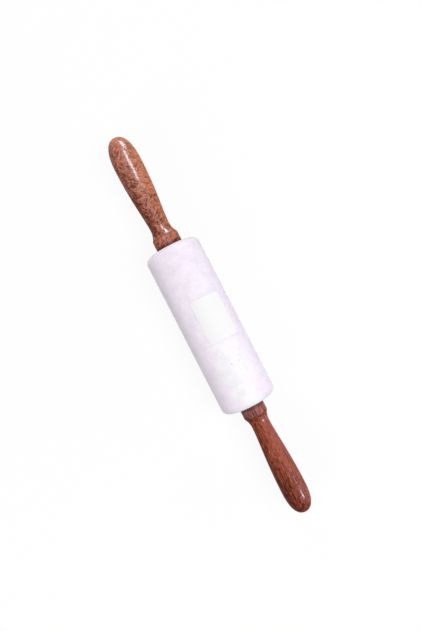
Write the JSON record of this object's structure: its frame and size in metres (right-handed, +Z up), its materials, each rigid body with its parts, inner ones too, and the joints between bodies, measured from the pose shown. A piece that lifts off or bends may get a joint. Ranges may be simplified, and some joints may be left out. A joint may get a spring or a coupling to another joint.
{
  "type": "rolling pin",
  "caption": "Rolling pin with a polished marble barrel that spins on a steel rod between turned hardwood handles.",
  "frame": {"origin": "centre of the marble barrel, on its spin axis", "axes": "+X along the rod towards the thinner handle, +Y square to it across the table, +Z up, with the pin lying on its barrel on a plane 30 mm below the origin and the label's middle turned 15 degrees from +Z towards +Y"},
  "size_m": [0.437, 0.06, 0.0601],
  "materials": {
    "marble": "polished",
    "label_paper": "satin",
    "nylon": "matte",
    "steel": "turned",
    "brass": "turned",
    "left_wood": "lacquered",
    "right_wood": "lacquered"
  },
  "bodies": {
    "handle_frame": {"axle_rod": "steel", "thrust_washer_left": "steel", "thrust_washer_right": "steel", "threaded_insert_left": "brass", "threaded_insert_right": "brass", "handle_left": "left_wood", "handle_right": "right_wood"},
    "roller": {"marble_barrel": "marble", "bearing_bush_left": "nylon", "bearing_bush_right": "nylon", "label": "label_paper"}
  },
  "joints": [
    {"name": "barrel_spin", "type": "hinge", "parent": "handle_frame", "child": "roller", "pos_m": [0, 0, 0], "axis": [1, 0, 0], "continuous": true}
  ]
}
